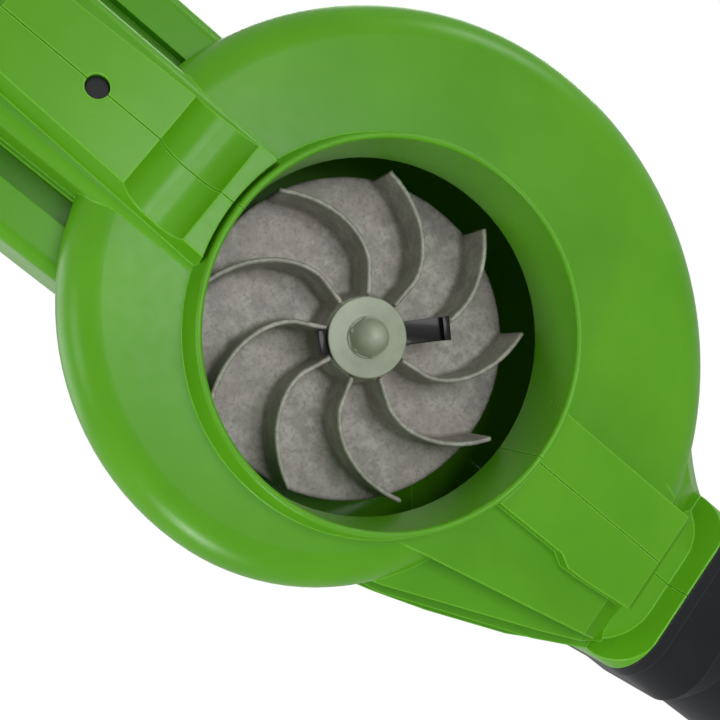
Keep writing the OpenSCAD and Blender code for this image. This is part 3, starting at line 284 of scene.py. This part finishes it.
enamel = Finish("glossy black enamel", Coat_Weight=0.2, Coat_Roughness=0.08,
                Specular_IOR_Level=0.2)
flakes = enamel.ramp(enamel.noise(0.0035, detail=6.0, rough=0.7), 0.62, 0.72)
chips = flakes * enamel.edge(0.0007)
enamel.set(
    Base_Color=enamel.mix(0.7 * chips, colour(0.006, 0.006, 0.006), colour(0.22, 0.21, 0.2)),
    Roughness=0.22 + 0.15 * enamel.noise(0.02, detail=3.0),
    Normal=enamel.bump(enamel.noise(0.0025, detail=2.0), 0.00004, enamel.rounded(0.0006)))
bar = copy_of("shredder_bar", "cutting_bar")
bpy.ops.object.mode_set(mode="EDIT")
bpy.ops.mesh.select_all(action="SELECT")
bpy.ops.mesh.dissolve_limited(angle_limit=FACET)
bpy.ops.object.mode_set(mode="OBJECT")
break_edges(bar)
rides_for(bar, "rotor", "shredder_bar", enamel)


# The washer and the domed cap nut hold the wheel on its shaft. Both are moulded in natural
# nylon, which is pale, slightly green and lets some light in.
nylon = Finish("natural nylon", Subsurface_Weight=0.35, Subsurface_Scale=0.002,
               Subsurface_Radius=(1.0, 1.0, 0.8), Specular_IOR_Level=0.5)
haze = nylon.noise(0.008, detail=3.0)
nylon.set(
    Base_Color=nylon.mix(nylon.ramp(haze, 0.35, 0.65), colour(0.42, 0.46, 0.35),
                         colour(0.5, 0.54, 0.42)),
    Roughness=0.3 + 0.12 * haze,
    Normal=nylon.bump(nylon.noise(0.0012, detail=2.0), 0.00002, nylon.rounded(0.0005)))

low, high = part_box("hub_washer")
bpy.ops.object.select_all(action="DESELECT")
bpy.ops.mesh.primitive_cylinder_add(vertices=128, radius=high[0], depth=high[2] - low[2],
                                    location=(0, 0, (low[2] + high[2]) / 2))
washer = bpy.context.object
washer.name = "clamping_washer"
bpy.ops.object.transform_apply(location=True, rotation=True, scale=True)
bpy.ops.object.mode_set(mode="EDIT")
bpy.ops.mesh.select_mode(type="FACE")
bpy.ops.mesh.select_all(action="DESELECT")
bpy.ops.object.mode_set(mode="OBJECT")
for face in washer.data.polygons:
    face.select = face.normal.z < -0.9
bpy.ops.object.mode_set(mode="EDIT")
# The lower face slopes in to a shallow groove round the nut's seat
rim_w, groove_w, groove_h = 0.0042, 0.0009, 0.00025
for width, rise in ((rim_w, groove_h), (groove_w, -groove_h)):
    bpy.ops.mesh.inset(thickness=width)
    bpy.ops.transform.translate(value=(0, 0, rise))
bpy.ops.object.mode_set(mode="OBJECT")
break_edges(washer)
rides_for(washer, "rotor", "hub_washer", nylon)

low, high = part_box("cap_nut")
nut_r, nut_top = high[0], high[2]
hexagon_r, flange_r, dome_r = nut_r * 0.97, nut_r * 0.99, nut_r * 0.86
hexagon_h, flange_h, dome_lap = 0.0036, 0.001, 0.0004
bpy.ops.object.select_all(action="DESELECT")
bpy.ops.mesh.primitive_cylinder_add(vertices=6, radius=hexagon_r, depth=hexagon_h,
                                    location=(0, 0, nut_top - hexagon_h / 2),
                                    rotation=(0, 0, math.radians(12)))
nut = bpy.context.object
nut.name = "domed_nut"
bpy.ops.mesh.primitive_cylinder_add(vertices=64, radius=flange_r, depth=flange_h,
                                    location=(0, 0, nut_top - flange_h / 2))
flange = bpy.context.object
bpy.ops.mesh.primitive_uv_sphere_add(segments=64, ring_count=32, radius=1,
                                     location=(0, 0, nut_top - hexagon_h + dome_lap),
                                     scale=(dome_r, dome_r, nut_top - hexagon_h - low[2]))
dome = bpy.context.object
bpy.ops.object.select_all(action="DESELECT")
for part in (flange, dome, nut):
    part.select_set(True)
bpy.context.view_layer.objects.active = nut
bpy.ops.object.join()
bpy.ops.object.transform_apply(location=True, rotation=True, scale=True)
melt_edges(nut, grid=0.0003, rounds=4)
rides_for(nut, "rotor", "cap_nut", nylon)


# Plain steel parts inside: back plate, motor can, shaft, bearings, laminations, screws, the
# trigger's pin and the springs. Turned or pressed and plated, they show fine drawn lines.
steel = Finish("bright plated steel", Metallic=1.0)
lines = steel.noise(0.004, detail=4.0, rough=0.6, stretch=(1.0, 1.0, 12.0))
steel.set(
    Base_Color=steel.mix(lines, colour(0.42, 0.42, 0.43), colour(0.6, 0.6, 0.61)),
    Roughness=0.28 + 0.18 * lines,
    Normal=steel.bump(lines, 0.00002, steel.rounded(0.0004)))
steel.onto("fan_back_plate", "plate_screws", "motor_can", "front_bearing", "rear_bearing",
           "motor_screws", "motor_shaft", "armature_core", "trigger_pin", "housing_screws",
           "trigger_spring", "boost_spring", "interlock_spring", "pack_button_spring",
           "tube_button_spring")


# Copper, brass and carbon carry the current: windings and commutator, blades and clips of the
# battery contacts, brush holders and the brushes themselves.
def patchy(name, dark, light, metallic, roughness, size):
    """A hard finish in patches, about size metres across, of two near colours."""
    finish = Finish(name, Metallic=metallic)
    blotches = finish.noise(size, detail=4.0, rough=0.6)
    finish.set(Base_Color=finish.mix(finish.ramp(blotches, 0.3, 0.7), dark, light),
               Roughness=roughness + 0.15 * blotches,
               Normal=finish.bump(blotches, 0.00003, finish.rounded(0.0003)))
    return finish


patchy("copper", colour(0.45, 0.17, 0.07), colour(0.64, 0.28, 0.13), metallic=1.0,
       roughness=0.3, size=0.0015).onto("armature_windings", "commutator")
patchy("bright brass", colour(0.6, 0.4, 0.14), colour(0.72, 0.52, 0.22), metallic=1.0,
       roughness=0.25, size=0.004).onto("brush_holders", "dock_blades", "battery_contacts")
patchy("pressed carbon", colour(0.02, 0.02, 0.02), colour(0.045, 0.045, 0.045), metallic=0.0,
       roughness=0.6, size=0.001).onto("carbon_brushes")


# The rest of the electrical parts: magnets, circuit boards, heat sink, sheathed leads and the
# wrapped cells. They are hidden, and their finishes keep to what such parts are made of.
patchy("sintered magnet", colour(0.03, 0.03, 0.032), colour(0.055, 0.055, 0.06), metallic=0.3,
       roughness=0.5, size=0.002).onto("motor_magnets")
patchy("green laminate", colour(0.01, 0.075, 0.025), colour(0.018, 0.11, 0.04), metallic=0.0,
       roughness=0.3, size=0.006).onto("controller_board", "battery_board")
patchy("plain aluminium", colour(0.5, 0.5, 0.51), colour(0.62, 0.62, 0.63), metallic=1.0,
       roughness=0.35, size=0.003).onto("controller_heatsink")
patchy("red lead sheath", colour(0.42, 0.012, 0.012), colour(0.5, 0.02, 0.018), metallic=0.0,
       roughness=0.35, size=0.01).onto("motor_leads", "power_leads")
patchy("cell wrapper", colour(0.05, 0.11, 0.19), colour(0.065, 0.14, 0.23), metallic=0.0,
       roughness=0.3, size=0.01).onto("battery_cells")


# The floor that the blower stands on, which takes its shadow. It is clear from below, so that
# a camera there looks straight at the intake, and it sends no light up to the blower.
FLOOR_W = 6
FLOOR_DROP = 0.0004  # keeps its plane clear of the rim's
FLOOR_GREY = 0.66
FLOOR_GLOW = 0.25  # brings it closer to white, for the camera alone
bpy.ops.object.select_all(action="DESELECT")
bpy.ops.mesh.primitive_plane_add(size=FLOOR_W, location=(0, 0, -FLOOR_DROP))
floor = bpy.context.object
floor.name = "floor"
paint = Finish("pale floor", Base_Color=colour(FLOOR_GREY, FLOOR_GREY, FLOOR_GREY),
               Roughness=0.7)
direct = paint.node("ShaderNodeLightPath", out="Is Camera Ray")
paint.set(Emission_Color=colour(1, 1, 1), Emission_Strength=FLOOR_GLOW * direct)
clear = paint.node("ShaderNodeBsdfTransparent")
below = paint.node("ShaderNodeNewGeometry", out="Backfacing")
choice = paint.tree.nodes.new("ShaderNodeMixShader")
for place, term in enumerate((below, Value(paint.tree, paint.shader.outputs[0]), clear)):
    connect(paint.tree, term, choice.inputs[place])
surface = paint.tree.nodes["Material Output"].inputs["Surface"]
connect(paint.tree, Value(paint.tree, choice.outputs[0]), surface)
floor.data.materials.append(paint.material)
floor.visible_diffuse = False
floor.visible_glossy = False
floor.visible_shadow = False


# White surroundings, and soft boxes below and above the blower, on both sides of the camera.
AMBIENT = 0.38  # strength of the surroundings as light on the blower
GLOSS = 0.55  # and in its reflections; the camera sees them at 1
world = bpy.data.worlds.new("studio")
bpy.context.scene.world = world
world.use_nodes = True
sky = world.node_tree
rays = sky.nodes.new("ShaderNodeLightPath")
seen, through, mirrored = (Value(sky, rays.outputs[f"Is {kind} Ray"])
                           for kind in ("Camera", "Transmission", "Glossy"))
seen = seen.math("MAXIMUM", through)
strength = (seen * (1 - AMBIENT) + AMBIENT).math("MAXIMUM", mirrored * GLOSS)
connect(sky, strength, sky.nodes["Background"].inputs["Strength"])
connect(sky, colour(1, 1, 1), sky.nodes["Background"].inputs["Color"])

# The camera's place and its axes, by which the soft boxes below the blower are set too
CAMERA_AT = Vector((-0.09186, 0.08540, -0.38029))
RIGHT = Vector((0.75475, -0.59589, -0.27435))
UP = Vector((-0.61978, -0.78478, -0.00051))
BACK = Vector((-0.21500, 0.17042, -0.96163))
HUB = Vector((0, 0, 0.05))


def soft_box(name, at, size, power):
    """A square lamp that looks at the fan's hub."""
    lamp = bpy.data.lights.new(name, "AREA")
    lamp.shape = "SQUARE"
    lamp.size, lamp.energy = size, power
    box = bpy.data.objects.new(name, lamp)
    bpy.context.collection.objects.link(box)
    box.location = at
    box.rotation_euler = (HUB - Vector(at)).to_track_quat("-Z", "Y").to_euler()


soft_box("key", HUB + 0.9 * BACK + 0.12 * UP + 0.36 * RIGHT, size=0.4, power=2.9)
soft_box("side", HUB + 0.25 * BACK + 0.8 * UP + 0.6 * RIGHT, size=0.3, power=1.6)
soft_box("low", HUB + 0.42 * BACK - 0.85 * UP - 0.35 * RIGHT, size=0.2, power=2.8)
soft_box("rim light", HUB + 0.5 * BACK - 0.8 * RIGHT - 0.1 * UP, size=0.3, power=1.0)
soft_box("upper key", (-0.1, -0.9, 1.1), size=0.9, power=9.0)
soft_box("upper fill", (-0.9, 0.8, 0.8), size=0.9, power=4.0)


# The camera stands where the photograph was taken from, below the blower on its left.
view = bpy.data.cameras.new("photograph")
view.sensor_width, view.lens = 36, 50.8  # millimetres
view.clip_start = 0.01
camera = bpy.data.objects.new("photograph", view)
bpy.context.collection.objects.link(camera)
axes = Matrix((RIGHT, UP, BACK)).transposed().to_4x4()
camera.matrix_world = Matrix.Translation(CAMERA_AT) @ axes
bpy.context.scene.camera = camera
bpy.context.scene.view_settings.view_transform = "Standard"
